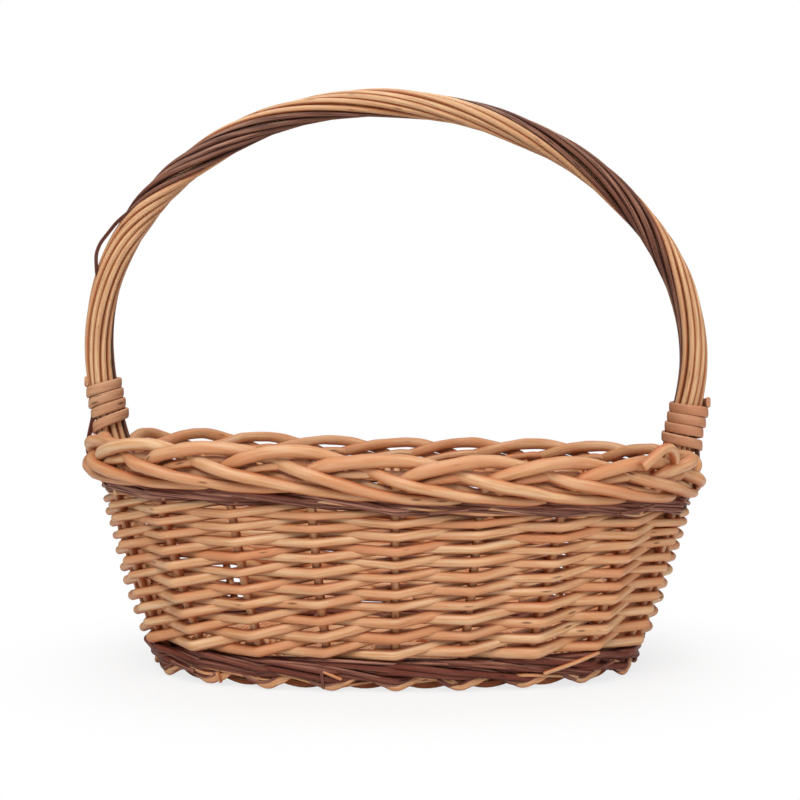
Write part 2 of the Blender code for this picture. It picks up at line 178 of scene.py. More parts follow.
def rod_arrays(points, radii, facing, sides=SIDES, closed=False, flat=1.0, square=1.0):
    """Rings: centre + radius (cos a side + flat sin a up), cos and sin to the power square."""
    if closed:
        tangent = np.roll(points, -1, axis=0) - np.roll(points, 1, axis=0)
    else:
        tangent = np.gradient(points, axis=0)
    tangent /= np.linalg.norm(tangent, axis=1, keepdims=True)
    facing = np.broadcast_to(facing, points.shape)
    if not closed:
        bevel = CUT_BEVEL * radii[[0, -1]][:, None] * tangent[[0, -1]]
        points = np.vstack((points[0] - bevel[0], points, points[-1] + bevel[1]))
        radii = np.concatenate(([radii[0] * CUT_SHRINK], radii, [radii[-1] * CUT_SHRINK]))
        tangent = np.vstack((tangent[0], tangent, tangent[-1]))
        facing = np.vstack((facing[0], facing, facing[-1]))
    side = np.cross(tangent, facing)
    side /= np.linalg.norm(side, axis=1, keepdims=True)
    up = np.cross(side, tangent)
    angle = np.linspace(0, 2 * np.pi, sides, endpoint=False)
    across, upward = (np.sign(w) * np.abs(w) ** square for w in (np.cos(angle), np.sin(angle)))
    ring = across[None, :, None] * side[:, None] + flat * upward[None, :, None] * up[:, None]
    verts = (points[:, None] + radii[:, None, None] * ring).reshape(-1, 3)
    along = np.concatenate(([0], np.cumsum(np.linalg.norm(np.diff(points, axis=0), axis=1))))
    count = len(points)
    steps = np.arange(count if closed else count - 1)
    a, b = np.meshgrid(steps, np.arange(sides), indexing="ij")
    a2, b2 = (a + 1) % count, (b + 1) % sides
    quads = np.stack((a * sides + b, a2 * sides + b, a2 * sides + b2, a * sides + b2), axis=-1)
    far = np.append(along, along[-1] + np.linalg.norm(points[0] - points[-1]))
    u = np.stack((far[a], far[a + 1], far[a + 1], far[a]), axis=-1)
    v = np.stack((b, b, b + 1, b + 1), axis=-1) / sides
    quads, quad_map = quads.reshape(-1, 4), np.stack((u, v), axis=-1).reshape(-1, 4, 2)
    if closed:
        return verts, quads, quad_map, np.zeros((0, 3), int), np.zeros((0, 3, 2))
    verts = np.vstack((verts, points[0], points[-1]))
    k = np.arange(sides)
    first, last = len(verts) - 2, len(verts) - 1
    start = np.stack((np.full(sides, first), k, (k + 1) % sides), axis=-1)
    base = (count - 1) * sides
    end = np.stack((np.full(sides, last), base + (k + 1) % sides, base + k), axis=-1)
    tri_map = np.zeros((2 * sides, 3, 2))
    tri_map[:sides, :, 0], tri_map[sides:, :, 0] = along[0], along[-1]
    tri_map[:, :, 1] = np.stack((k + 0.5, k, k + 1), axis=-1)[np.arange(2 * sides) % sides] / sides
    return verts, quads, quad_map, np.vstack((start, end)), tri_map


sample = rod_arrays(corner, np.full(len(corner), LEAST_RADIUS), (0, 0, 1))
print("a rod along it has", len(sample[0]), "points and", len(sample[1]) + len(sample[3]), "faces")

# %% [markdown]
# A stake or a weaver is a piece by itself, and a wale is one piece out of several rods.
# Finished rods could be joined afterwards, but one mesh from a list of rods is quicker. Each
# rod takes its own start on the grain, its own shade of colour and its own strength of painted
# edge shade, kept at its points, so one finish can colour every rod a little differently.

# %% Rods gathered and laid into one piece
GRAIN_STARTS = 60
UNEVEN, UNEVEN_WAVES = 0.022, (7, 11, 18)


def gather(rods):
    """Several rods one after another: points, faces, map, finishes, shades and painted edge shade.
    """
    verts, quads, tris, quad_maps, tri_maps = [], [], [], [], []
    shades, shade_paints, quad_finish, tri_finish = [], [], [], []
    base = 0
    for rod in rods:
        sides, closed = rod.get("sides", SIDES), rod.get("closed", False)
        v, q, qm, t, tm = rod_arrays(rod["points"], rod["radii"], rod["facing"], sides, closed,
                                     rod.get("flat", 1.0), rod.get("square", 1.0))
        seed = draw.uniform(0, GRAIN_STARTS)
        verts.append(v)
        quads.append(q + base)
        tris.append(t + base)
        quad_maps.append(qm + (seed, 0))
        tri_maps.append(tm + (seed, 0))
        shades.append(np.full(len(v), draw.uniform(0, 1)))
        # How strongly shade is painted at the rod's sides, full unless the rod says less, kept at
        # every ring point.
        grime = np.broadcast_to(rod.get("grime", 1.0), len(rod["points"]))
        if not closed:
            grime = np.concatenate((grime[:1], grime, grime[-1:]))
        grime = np.repeat(grime, sides)
        shade_paints.append(np.concatenate((grime, grime[[0, -1]][:len(v) - len(grime)])))
        quad_finish.append(np.full(len(q), rod.get("finish", 0)))
        tri_finish.append(np.full(len(t), rod.get("finish", 0)))
        base += len(v)
    grain_map = np.concatenate([m.reshape(-1, 2) for m in quad_maps + tri_maps])
    return (np.vstack(verts), np.vstack(quads), np.vstack(tris), grain_map,
            np.concatenate(quad_finish + tri_finish), np.concatenate(shades),
            np.concatenate(shade_paints))


def lay_rods(name, rods, finishes, nodes=()):
    """One piece out of several rods, with its grain map, shades, painted edge shade and CAD nodes.
    """
    verts, quads, tris, grain_map, face_finish, shades, shade_paints = gather(rods)
    mesh = bpy.data.meshes.new(name)
    mesh.vertices.add(len(verts))
    mesh.vertices.foreach_set("co", verts.ravel())
    corners = np.concatenate((quads.ravel(), tris.ravel()))
    mesh.loops.add(len(corners))
    mesh.loops.foreach_set("vertex_index", corners)
    sizes = np.concatenate((np.full(len(quads), 4), np.full(len(tris), 3)))
    mesh.polygons.add(len(sizes))
    mesh.polygons.foreach_set("loop_start", np.concatenate(([0], np.cumsum(sizes)[:-1])))
    mesh.polygons.foreach_set("material_index", face_finish.astype(np.int32))
    mesh.polygons.foreach_set("use_smooth", sizes == 4)
    grain = mesh.uv_layers.new(name="grain_map")
    grain.data.foreach_set("uv", grain_map.astype(np.float32).ravel())
    # The second attribute is the strength of the shade painted at the rods' sides.
    for attribute, values in (("rod_shade", shades), ("edge_grime", shade_paints)):
        layer = mesh.attributes.new(attribute, "FLOAT", "POINT")
        layer.data.foreach_set("value", values.astype(np.float32))
    mesh.update(calc_edges=True)
    mesh.validate()
    for finish in finishes:
        mesh.materials.append(finish)
    piece = bpy.data.objects.new(name, mesh)
    bpy.context.scene.collection.objects.link(piece)
    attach(piece, "root")
    if nodes:
        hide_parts(*nodes)
    return piece


def wall_rod(points, radii, finish=0, sides=SIDES, closed=False, window=0.011, spacing=0.0018):
    """A rod settled, softened and faced outwards, its radius times three (1 + UNEVEN sine)."""
    line, thick = soften(settled(points), radii, window, spacing, closed)
    way = np.linspace(0, 2 * np.pi, len(line), endpoint=False)
    for waves in UNEVEN_WAVES:
        thick = thick * (1 + UNEVEN * np.sin(waves * way + draw.uniform(0, 2 * np.pi)))
    return {"points": line, "radii": thick, "facing": outward(line), "finish": finish,
            "sides": sides, "closed": closed}


most = (1 + UNEVEN) ** len(UNEVEN_WAVES) - 1
print("a rod is uneven by at most", round(100 * most, 1), "%")

# %% [markdown]
# Peeled willow is tan with paler and pinker lengths, fine streaks along it, a few bud scars
# and an occasional brown stain. Rods in their bark are dark with a purple tint. The streaks
# must follow each rod, so the pattern reads the rod's own map, rolled into a ring so that
# no seam shows. One group makes the masks, and every finish uses it with its own values.

# %% Helpers for shader nodes
def link(tree, source, target):
    """Join two sockets."""
    tree.links.new(source, target)


def math_node(tree, operation, first, second=None):
    """A Math node on sockets or numbers."""
    node = tree.nodes.new("ShaderNodeMath")
    node.operation = operation
    for index, value in enumerate((first, second)):
        if isinstance(value, bpy.types.NodeSocket):
            link(tree, value, node.inputs[index])
        elif value is not None:
            node.inputs[index].default_value = value
    return node.outputs[0]


def ranged(tree, value, low, high, to_low=0.0, to_high=1.0):
    """A smooth step of a value from low to high."""
    node = tree.nodes.new("ShaderNodeMapRange")
    node.interpolation_type = "SMOOTHSTEP"
    for key, amount in (("From Min", low), ("From Max", high), ("To Min", to_low),
                        ("To Max", to_high)):
        node.inputs[key].default_value = amount
    link(tree, value, node.inputs["Value"])
    return node.outputs["Result"]


# %% The group of willow masks
# Each grain is a ring's size and a stretch along the rod, each step where a mask starts and ends
STREAK_GRAIN, LENGTH_GRAIN = (1.25, 24.0), (0.35, 14.0)
STAIN_GRAIN, SCAR_GRAIN = (0.5, 17.0), (0.9, 62.0)
STREAK_STEP, LENGTH_STEP, STAIN_STEP = (0.36, 0.66), (0.36, 0.62), (0.62, 0.80)
# The last step sets where shade is painted at the sides of each rod.
SCAR_EDGE, SCAR_RARITY, CREVICE_SHADE_STEP = (0.10, 0.26), (0.75, 0.79), (0.58, 1.0)
STREAK_SCALE, STREAK_HEIGHT = 1.6, 0.5


def make_willow_masks():
    """Masks of a willow rod, from its map of along and around: noise on the rolled-up map."""
    tree = bpy.data.node_groups.new("willow_masks", "ShaderNodeTree")
    tree.interface.new_socket("Grain Map", in_out="INPUT", socket_type="NodeSocketVector")
    for name, value in (("Streak Density", 1.0), ("Scar Amount", 1.0)):
        socket = tree.interface.new_socket(name, in_out="INPUT", socket_type="NodeSocketFloat")
        socket.default_value = value
    for name in ("Streaks", "Lengths", "Scars", "Stains", "Crevices", "Height"):
        tree.interface.new_socket(name, in_out="OUTPUT", socket_type="NodeSocketFloat")
    given = tree.nodes.new("NodeGroupInput")
    result = tree.nodes.new("NodeGroupOutput")
    split = tree.nodes.new("ShaderNodeSeparateXYZ")
    link(tree, given.outputs["Grain Map"], split.inputs[0])
    turn = math_node(tree, "MULTIPLY", split.outputs["Y"], 2 * np.pi)

    def ringed(round_scale, long_scale):
        """The rod's surface unrolled in space: a ring of round_scale, stretched lengthwise."""
        join = tree.nodes.new("ShaderNodeCombineXYZ")
        link(tree, math_node(tree, "MULTIPLY", math_node(tree, "COSINE", turn), round_scale),
             join.inputs["X"])
        link(tree, math_node(tree, "MULTIPLY", math_node(tree, "SINE", turn), round_scale),
             join.inputs["Y"])
        link(tree, math_node(tree, "MULTIPLY", split.outputs["X"], long_scale), join.inputs["Z"])
        return join.outputs[0]

    def noise(where, detail):
        """Noise at a place, its middle value half."""
        node = tree.nodes.new("ShaderNodeTexNoise")
        node.inputs["Scale"].default_value = 1.0
        node.inputs["Detail"].default_value = detail
        link(tree, where, node.inputs["Vector"])
        return node

    fine = noise(ringed(*STREAK_GRAIN), 5.0)
    link(tree, math_node(tree, "MULTIPLY", given.outputs["Streak Density"], STREAK_SCALE),
         fine.inputs["Scale"])
    streaks = ranged(tree, fine.outputs["Fac"], *STREAK_STEP)
    lengths = ranged(tree, noise(ringed(*LENGTH_GRAIN), 3.0).outputs["Fac"], *LENGTH_STEP)
    stains = ranged(tree, noise(ringed(*STAIN_GRAIN), 3.0).outputs["Fac"], *STAIN_STEP)
    spots = tree.nodes.new("ShaderNodeTexVoronoi")
    spots.inputs["Scale"].default_value = 1.0
    link(tree, ringed(*SCAR_GRAIN), spots.inputs["Vector"])
    near = ranged(tree, spots.outputs["Distance"], *SCAR_EDGE, 1.0, 0.0)
    tint = tree.nodes.new("ShaderNodeSeparateColor")
    link(tree, spots.outputs["Color"], tint.inputs[0])
    rare = ranged(tree, tint.outputs[0], *SCAR_RARITY)
    scars = math_node(tree, "MULTIPLY", math_node(tree, "MULTIPLY", near, rare),
                      given.outputs["Scar Amount"])
    # Painted shade: a mask at the sides of each rod, where it touches its neighbours.
    edge = math_node(tree, "ABSOLUTE", math_node(tree, "COSINE", turn))
    crevice_shade = ranged(tree, edge, *CREVICE_SHADE_STEP)
    height = math_node(tree, "ADD", math_node(tree, "MULTIPLY", streaks, STREAK_HEIGHT), scars)
    for name, socket in (("Streaks", streaks), ("Lengths", lengths), ("Scars", scars),
                         ("Stains", stains), ("Crevices", crevice_shade), ("Height", height)):
        link(tree, socket, result.inputs[name])
    return tree


WILLOW_MASKS = make_willow_masks()
print("masks:", [socket.name for socket in WILLOW_MASKS.interface.items_tree
                 if socket.in_out == "OUTPUT"])

# %% [markdown]
# The rods differ as one plant does from the next: peeled ones in the wall, paler ones in the
# hoop, split ones in the bindings, and rods with their bark on. They are five finishes of one
# recipe, so that they stay a family. Shade is painted where rods touch, at their sides: a
# darker and redder tint is mixed in there, as strong as the rod's painted edge shade says.

# %% The willow finishes
ROD_WARMTH, LENGTH_WARMTH = 0.55, 0.45
# The colour of the shade painted at a rod's sides, as fractions of its deep colour, and how much
# of it is mixed in.
CREVICE_SHADE_FADE, CREVICE_SHADE_SHARE, SCAR_SHARE = (0.78, 0.38, 0.16), 0.75, 0.8
ROUGH_STREAKS, BUMP_STRENGTH, BUMP_DEPTH = 0.14, 0.35, 0.0003
GLOW_SHARE, GLOW_COLOURS, GLOW_DEPTH = 0.22, (1.0, 0.35, 0.12), 0.0012


def make_willow(name, pale, deep, warm, scar, roughness, streak_share, stain_share, gloss):
    """A willow finish: pale to deep by streak, then to warm, stained, edges darkened with painted
    shade, and scarred.
    """
    material = bpy.data.materials.new(name)
    material.use_nodes = True
    tree = material.node_tree
    shader = tree.nodes["Principled BSDF"]
    masks = tree.nodes.new("ShaderNodeGroup")
    masks.node_tree = WILLOW_MASKS
    grain = tree.nodes.new("ShaderNodeUVMap")
    grain.uv_map = "grain_map"
    link(tree, grain.outputs[0], masks.inputs["Grain Map"])
    shade = tree.nodes.new("ShaderNodeAttribute")
    shade.attribute_name = "rod_shade"
    # How strongly shade is painted at this rod's sides.
    grime = tree.nodes.new("ShaderNodeAttribute")
    grime.attribute_name = "edge_grime"

    def mixed(amount, first, second):
        """Mix two colours by a socket."""
        node = tree.nodes.new("ShaderNodeMix")
        node.data_type = "RGBA"
        link(tree, amount, node.inputs["Factor"])
        for socket, value in ((node.inputs[6], first), (node.inputs[7], second)):
            if isinstance(value, tuple):
                socket.default_value = (*value, 1)
            else:
                link(tree, value, socket)
        return node.outputs[2]

    colour = mixed(math_node(tree, "MULTIPLY", masks.outputs["Streaks"], streak_share), pale, deep)
    rod_warmth = math_node(tree, "MULTIPLY", shade.outputs["Fac"], ROD_WARMTH)
    length_warmth = math_node(tree, "MULTIPLY", masks.outputs["Lengths"], LENGTH_WARMTH)
    colour = mixed(math_node(tree, "ADD", rod_warmth, length_warmth), colour, warm)
    colour = mixed(math_node(tree, "MULTIPLY", masks.outputs["Stains"], stain_share), colour, scar)
    # Painted shade: a darker, redder colour mixed in at each rod's sides.
    edges = math_node(tree, "MULTIPLY", masks.outputs["Crevices"], grime.outputs["Fac"])
    dark = tuple(channel * fade for channel, fade in zip(deep, CREVICE_SHADE_FADE))
    colour = mixed(math_node(tree, "MULTIPLY", edges, CREVICE_SHADE_SHARE), colour, dark)
    colour = mixed(math_node(tree, "MULTIPLY", masks.outputs["Scars"], SCAR_SHARE), colour, scar)
    shader.inputs["Specular IOR Level"].default_value = gloss
    shader.inputs["Subsurface Weight"].default_value = GLOW_SHARE
    shader.inputs["Subsurface Radius"].default_value = GLOW_COLOURS
    shader.inputs["Subsurface Scale"].default_value = GLOW_DEPTH
    link(tree, colour, shader.inputs["Base Color"])
    rough = math_node(tree, "ADD", math_node(tree, "MULTIPLY", masks.outputs["Streaks"],
                                             ROUGH_STREAKS), roughness)
    link(tree, rough, shader.inputs["Roughness"])
    bump = tree.nodes.new("ShaderNodeBump")
    bump.inputs["Strength"].default_value = BUMP_STRENGTH
    bump.inputs["Distance"].default_value = BUMP_DEPTH
    link(tree, masks.outputs["Height"], bump.inputs["Height"])
    link(tree, bump.outputs[0], shader.inputs["Normal"])
    return material


PEELED = make_willow("peeled_willow", (0.70, 0.470, 0.272), (0.50, 0.176, 0.042),
                     (0.55, 0.226, 0.098), (0.15, 0.050, 0.018), 0.43, 0.62, 0.40, 0.28)
BARK = make_willow("dark_bark_willow", (0.50, 0.240, 0.165), (0.034, 0.008, 0.006),
                   (0.150, 0.038, 0.024), (0.016, 0.005, 0.005), 0.44, 0.92, 0.50, 0.14)
HOOP = make_willow("peeled_hoop_willow", (0.71, 0.460, 0.260), (0.38, 0.165, 0.062),
                   (0.56, 0.295, 0.148), (0.10, 0.035, 0.014), 0.40, 0.76, 0.45, 0.30)
HOOP_BARK = make_willow("dark_hoop_willow", (0.46, 0.240, 0.160), (0.036, 0.010, 0.008),
                        (0.150, 0.050, 0.028), (0.020, 0.007, 0.008), 0.40, 0.92, 0.50, 0.22)
SPLIT = make_willow("split_willow", (0.60, 0.370, 0.220), (0.40, 0.150, 0.060),
                    (0.50, 0.225, 0.120), (0.12, 0.040, 0.018), 0.46, 0.70, 0.50, 0.22)
print("finishes:", [m.name for m in (PEELED, BARK, HOOP, HOOP_BARK, SPLIT)])

# %% [markdown]
# The base is an oval slath: short sticks across, long sticks through them, fanned so that
# their ends fall evenly round the edge. It is filled by pairing, where two weavers cross
# between sticks, one over and one under. A ring of the pair is a closed line whose height
# swings like a cosine, and its partner swings the other way.

# %% The woven base
BASE_MIDDLE, STICK_RADIUS, PAIR_RADIUS, PAIR_SWELL = 0.0062, 0.0026, 0.0017, 1.14
STICK_END, CROSS_PITCH, LONG_PITCH = -0.001, 0.022, 0.0049
SLATH_LENGTH, SLATH_WIDTH = 0.07, 0.02
PAIR_FIRST, PAIR_LAST, PAIR_PITCH = -0.0004, -0.083, 0.0039


def fanned_stick(stake_a, stake_b, middle_a, middle_b):
    """A stick from edge to edge, straight through the slath and bent out to its two ends."""
    ends, _ = on_oval(np.array([stake_a, stake_b]), np.full(2, STICK_END))
    line = np.array([ends[0], middle_a, middle_b, ends[1]])
    line = np.column_stack((line, np.full(4, BASE_MIDDLE)))
    points, radii = soften(line, STICK_RADIUS, window=0.03, spacing=0.004)
    return {"points": points, "radii": radii, "facing": (0, 0, 1), "sides": 10}


sticks = []
for index in range(-3, 4):
    place = index * CROSS_PITCH
    sticks.append(fanned_stick(index + 0.5, 10.5 - index, (place, -SLATH_WIDTH),
                               (place, SLATH_WIDTH)))
for index in range(4):
    place = (index - 1.5) * LONG_PITCH
    sticks.append(fanned_stick(18.5 - index, 4.5 + index, (-SLATH_LENGTH, place),
                               (SLATH_LENGTH, place)))
pairs = []
turn = np.arange(0, STAKES, 0.125)
for ring, out in enumerate(np.arange(PAIR_FIRST, PAIR_LAST, -PAIR_PITCH)):
    for partner in (1, -1):
        swing = (partner * (-1) ** ring * (STICK_RADIUS + PAIR_RADIUS)
                 * np.cos(np.pi * (turn - 0.5)))
        point, _ = on_oval(turn, np.full(len(turn), out))
        line, radii = soften(np.column_stack((point, BASE_MIDDLE + swing)),
                             PAIR_RADIUS * PAIR_SWELL, window=0.006, spacing=0.0034, closed=True)
        pairs.append({"points": line, "radii": radii, "facing": (0, 0, 1), "sides": 8,
                      "closed": True})
lay_rods("base_sticks", sticks, [PEELED])
base = lay_rods("base_pairing", pairs, [PEELED], ["woven_base"])
print("base:", len(sticks), "sticks,", len(pairs), "weaving rods,", len(base.data.polygons),
      "faces")

# %% [markdown]
# The stakes carry everything. Each turns up out of the base, leans with the wall, and then
# lies down into the border: over its neighbours, behind one stake, and down in front of two.
# The whole way is one line, written as places along the rim, in or out, and up, so the plait
# appears by itself when every stake takes the same way. At its two ends the rim is drawn in
# by the handle, so the way stands out less there.

# %% The way of a stake through the border
STAKE_RADIUS, BORDER_RADIUS = 0.0027, 0.0036
BORDER_START, BORDER_LIFT, BORDER_STEP, OVERHANG = 0.1128, 0.00685, 0.0062, 0.004
BORDER_SETTLE = 0.0024
RISER_POINTS, RISER_FOOT, RISER_JITTER, ROOT_IN = 26, 0.0045, 0.0002, -0.016
PULL_STAKES = (0.0, 3.9, 4.9, 6.1, 7.1, 15.3, 16.1, 17.1, 18.0, 22.0)
LOW_PULLS = (0.0, 0.0, 0.0092, 0.0092, 0.0, 0.0, 0.0010, 0.0010, 0.0, 0.0)
HIGH_PULLS = (0.0, 0.0, 0.0098, 0.0098, 0.0, 0.0, 0.0060, 0.0060, 0.0, 0.0)
BORDER_TAPER = np.array((1.0, 1.04, 1.04, 1.04, 1.04, 1.03, 1.02, 1.0, 0.98, 0.95, 0.91,
                         0.87, 0.82, 0.74, 0.62))
# Shade painted at the stakes' sides: full in the wall, less up the border, where rod tops are lit.
SHADE_PAINT_HEIGHTS = (BORDER_START, BORDER_START + 1.6 * BORDER_LIFT,
                 BORDER_START + 2.9 * BORDER_LIFT)
STAKE_SHADE_PAINT = (1.0, 0.8, 0.3)
# Each place is stakes along the rim, steps outwards and rod heights up
BORDER_WAY = np.array((
    (0.00, -0.06, 1.20), (0.05, 0.04, 1.95), (0.30, 0.60, 2.72), (0.62, 0.52, 3.30),
    (0.85, 0.10, 3.52), (1.10, -0.56, 3.50), (1.36, -0.80, 3.20), (1.56, -0.70, 2.78),
    (1.76, -0.08, 2.34), (1.96, 1.00, 1.92), (2.20, 1.22, 1.54), (2.50, 1.20, 1.12),
    (2.80, 1.22, 0.72), (3.12, 1.14, 0.46), (3.50, 0.90, 0.34), (3.80, 0.10, 0.34)))
WAY_JITTER = (0.012, 0.03, 0.035)


def overhang(stake, height):
    """How far the border stands out: a smooth step over its lowest rod, less at the ends."""
    share = np.clip((height - BORDER_START) / BORDER_LIFT, 0, 1)
    low, high = (np.interp(stake % STAKES, PULL_STAKES, pulls)
                 for pulls in (LOW_PULLS, HIGH_PULLS))
    pulled = low + (high - low) * np.clip((height - BORDER_START) / (3 * BORDER_LIFT), 0, 1)
    return (OVERHANG - pulled) * share ** 2 * (3 - 2 * share)


print("a stake passes", BORDER_WAY[-1, 0], "stakes in the border")

# %% Stakes and the plaited border
for number in range(STAKES):
    rise = np.linspace(RISER_FOOT, BORDER_START, RISER_POINTS)
    riser = on_wall(number, rise, draw.normal(0, RISER_JITTER, len(rise)))
    way = BORDER_WAY + draw.normal(0, 1, BORDER_WAY.shape) * WAY_JITTER
    height = BORDER_START - BORDER_SETTLE + way[:, 2] * BORDER_LIFT
    plait = on_wall(number + way[:, 0], height, way[:, 1] * BORDER_STEP,
                    overhang(number + way[:, 0], height))
    root = on_wall(number, BASE_MIDDLE, ROOT_IN)[None]
    thick = BORDER_RADIUS * draw.uniform(0.94, 1.06)
    radii = np.concatenate((np.full(1 + RISER_POINTS, STAKE_RADIUS), [STAKE_RADIUS * 1.1],
                            thick * BORDER_TAPER))
    rod = wall_rod(np.vstack((root, riser, plait)), radii, sides=14, window=0.012)
    # The painted edge shade fades from the wall up into the border.
    rod["grime"] = np.interp(rod["points"][:, 2], SHADE_PAINT_HEIGHTS, STAKE_SHADE_PAINT)
    lay_rods(f"stake_rod_{number + 1:02d}", [rod], [PEELED],
             [f"stake_{number + 1:02d}"])
print("stakes:", STAKES)

# %% [markdown]
# A plait of single rods would be open below. A basket maker sets a thinner rod, a bye, beside
# each stake, and here it takes a lower way inside the plait, which closes the holes between
# the wall and the border. The same helper makes it, because a bye is a way with other numbers.

# %% The byes
BYE_RADIUS, BYE_JITTER = 0.0027, (0.015, 0.04, 0.05)
BYE_WAY = np.array((
    (0.10, 0.10, -0.90), (0.12, 0.10, 0.40), (0.16, 0.16, 1.20), (0.36, 0.30, 1.90),
    (0.66, 0.10, 2.30), (0.94, -0.62, 2.40), (1.24, -0.86, 2.10), (1.50, -0.74, 1.66),
    (1.76, -0.10, 1.30), (1.98, 0.34, 1.00), (2.30, 0.36, 0.72), (2.62, 0.10, 0.40)))
byes = []
for number in range(STAKES):
    way = BYE_WAY + draw.normal(0, 1, BYE_WAY.shape) * BYE_JITTER
    height = BORDER_START - BORDER_SETTLE + way[:, 2] * BORDER_LIFT
    line = on_wall(number + way[:, 0], height, way[:, 1] * BORDER_STEP,
                   overhang(number + way[:, 0], height))
    byes.append(wall_rod(line, BYE_RADIUS * draw.uniform(0.85, 1.1), sides=10, window=0.012))
    # Full painted shade at the sides of each bye.
    byes[-1]["grime"] = 1.0
lay_rods("border_bye_rods", byes, [PEELED])
print("byes:", len(byes))

# %% [markdown]
# French randing fills the wall. Each weaver starts behind its own stake and climbs one layer
# at every stake, in front of one and behind the next. The climb isn't even: it runs level
# into the front of a stake and climbs steeply to the back of the next, which is the V that
# shows at each stake. Front passes are therefore set a little low, and back passes high.

# %% The weavers
LAYERS = 20
BUTT_RADIUS, TIP_RADIUS, ROD_GAP, BUTT_OUT = 0.00315, 0.00240, 0.0003, 0.0016
# The first number is the strength of the shade painted at the weavers' sides.
WEAVER_SHADE_PAINT, WEAVER_JITTER, STAKE_JITTER = 0.85, 0.00042, 0.012
WEAVER_SINK, END_WAY, TAIL_IN, TIP_IN = 0.001, 0.3, 0.001, 0.0005
RANDING_START, FIRST_STEP, LAST_STEP = 0.0209, 0.0050, 0.00315
DIP, DIP_SWING, TOP_CROWD = 0.46, 0.14, 0.0016
STAKE_DIPS = DIP + DIP_SWING * (-1.0) ** np.arange(STAKES) + draw.normal(0, 0.05, STAKES)


def wale_thinness(stake):
    """Where the top wale is thin: a cosine twice round the basket, most in the middle."""
    return 0.5 + 0.5 * np.cos(4 * np.pi * (stake + 0.4) / STAKES)


def layer_height(layer):
    """Height of a layer: steps shrink evenly from the first to the last."""
    loss = layer ** 2 * (FIRST_STEP - LAST_STEP) / (2 * LAYERS)
    return RANDING_START + layer * FIRST_STEP - loss


for number in range(STAKES):
    layer = np.arange(LAYERS + 1)
    side = np.where(layer % 2, 1, -1)
    step = FIRST_STEP - layer * (FIRST_STEP - LAST_STEP) / LAYERS
    thick = BUTT_RADIUS + (TIP_RADIUS - BUTT_RADIUS) * layer / LAYERS
    thick = thick * draw.uniform(0.90, 1.10)
    dip = STAKE_DIPS[(number + layer) % STAKES]
    height = layer_height(layer) - side * dip * step
    height = height + draw.normal(0, WEAVER_JITTER, len(layer))
    height = np.maximum(height, RANDING_START - WEAVER_SINK) + (
        TOP_CROWD * wale_thinness(number + layer) * (layer / LAYERS) ** 3)
    offset = side * (STAKE_RADIUS + thick + ROD_GAP) + BUTT_OUT * np.exp(-layer)
    stake = number + layer + draw.normal(0, STAKE_JITTER, len(layer))
    line = on_wall(stake, height, offset)
    tail = on_wall(stake[:1] - END_WAY, height[:1], offset[:1] - TAIL_IN)
    tip = on_wall(stake[-1:] + END_WAY, height[-1:], offset[-1:] - TIP_IN)
    rod = wall_rod(np.vstack((tail, line, tip)), np.concatenate((thick[:1], thick, thick[-1:])),
                   window=0.0055, spacing=0.0016)
    # Painted shade at the weaver's sides.
    rod["grime"] = WEAVER_SHADE_PAINT
    lay_rods(f"weaver_rod_{number + 1:02d}", [rod], [PEELED],
             [f"weaver_{number + 1:02d}"])
print("weavers:", STAKES, "from height", RANDING_START, "to",
      round(float(layer_height(LAYERS)), 4))

# %% [markdown]
# A wale locks the wall at foot and rim. Three rods take turns, each behind one stake and
# before two, which looks like a rope. Here each is one closed line three times round, and
# thinner companions lie beside it, because the dark bands on the basket are bundles of
# uneven rods with a paler one among them. Each row of a table below is one rod.

# %% The two dark wales
WALE_PHASES = np.array(((-1.0, 0.0), (1.0, 1.0), (1.0, -1.0)))
UPSET_HEIGHT, UPSET_SLACK = 0.0108, 0.0004
BAND_HEIGHT, BAND_SLACK, BAND_STEP = 0.1084, 0.0002, 0.0028
BAND_WANDER, BAND_THINNING = 0.0010, 0.45
MAIN_HEIGHT, MAIN_LAY, MAIN_STEP, MAIN_THINNING, MAIN_RADIUS = 0.1081, 0.0012, 0.0026, 0.4, 0.0016
# Lift, radius, step, wander and finish of each rod of the thick wale at the foot
UPSET_RODS = ((0.0046, 0.0021, 0.0025, 0.0010, 0), (-0.0008, 0.0023, 0.0024, 0.0010, 0),
              (0.0012, 0.0015, 0.0044, 0.0016, 0), (-0.0020, 0.0010, 0.0034, 0.0014, 1),
              (0.0066, 0.0011, 0.0018, 0.0012, 0), (0.0030, 0.0012, 0.0048, 0.0016, 0))
# Lift, radius and finish of the rods that lie with the main one of the thin wale
BAND_RODS = ((0.0014, 0.0014, 0), (-0.0016, 0.0014, 0), (-0.0034, 0.0010, 0),
             (0.0032, 0.0013, 0), (-0.0026, 0.0010, 1))


def wale_line(height, radius, step, lift=0.0, wander=0.0003, thinner=0.0):
    """Three laps of stakes: behind one at middle height, before two, high and then low."""
    place = np.arange(3 * STAKES)
    side, rise = WALE_PHASES[place % 3].T
    depth = 1 - thinner * wale_thinness(place)
    level = height + (rise * step + lift) * depth + draw.normal(0, wander, len(place))
    offset = side * (STAKE_RADIUS + radius + ROD_GAP) + draw.normal(0, wander, len(place))
    return on_wall(place, level, offset)


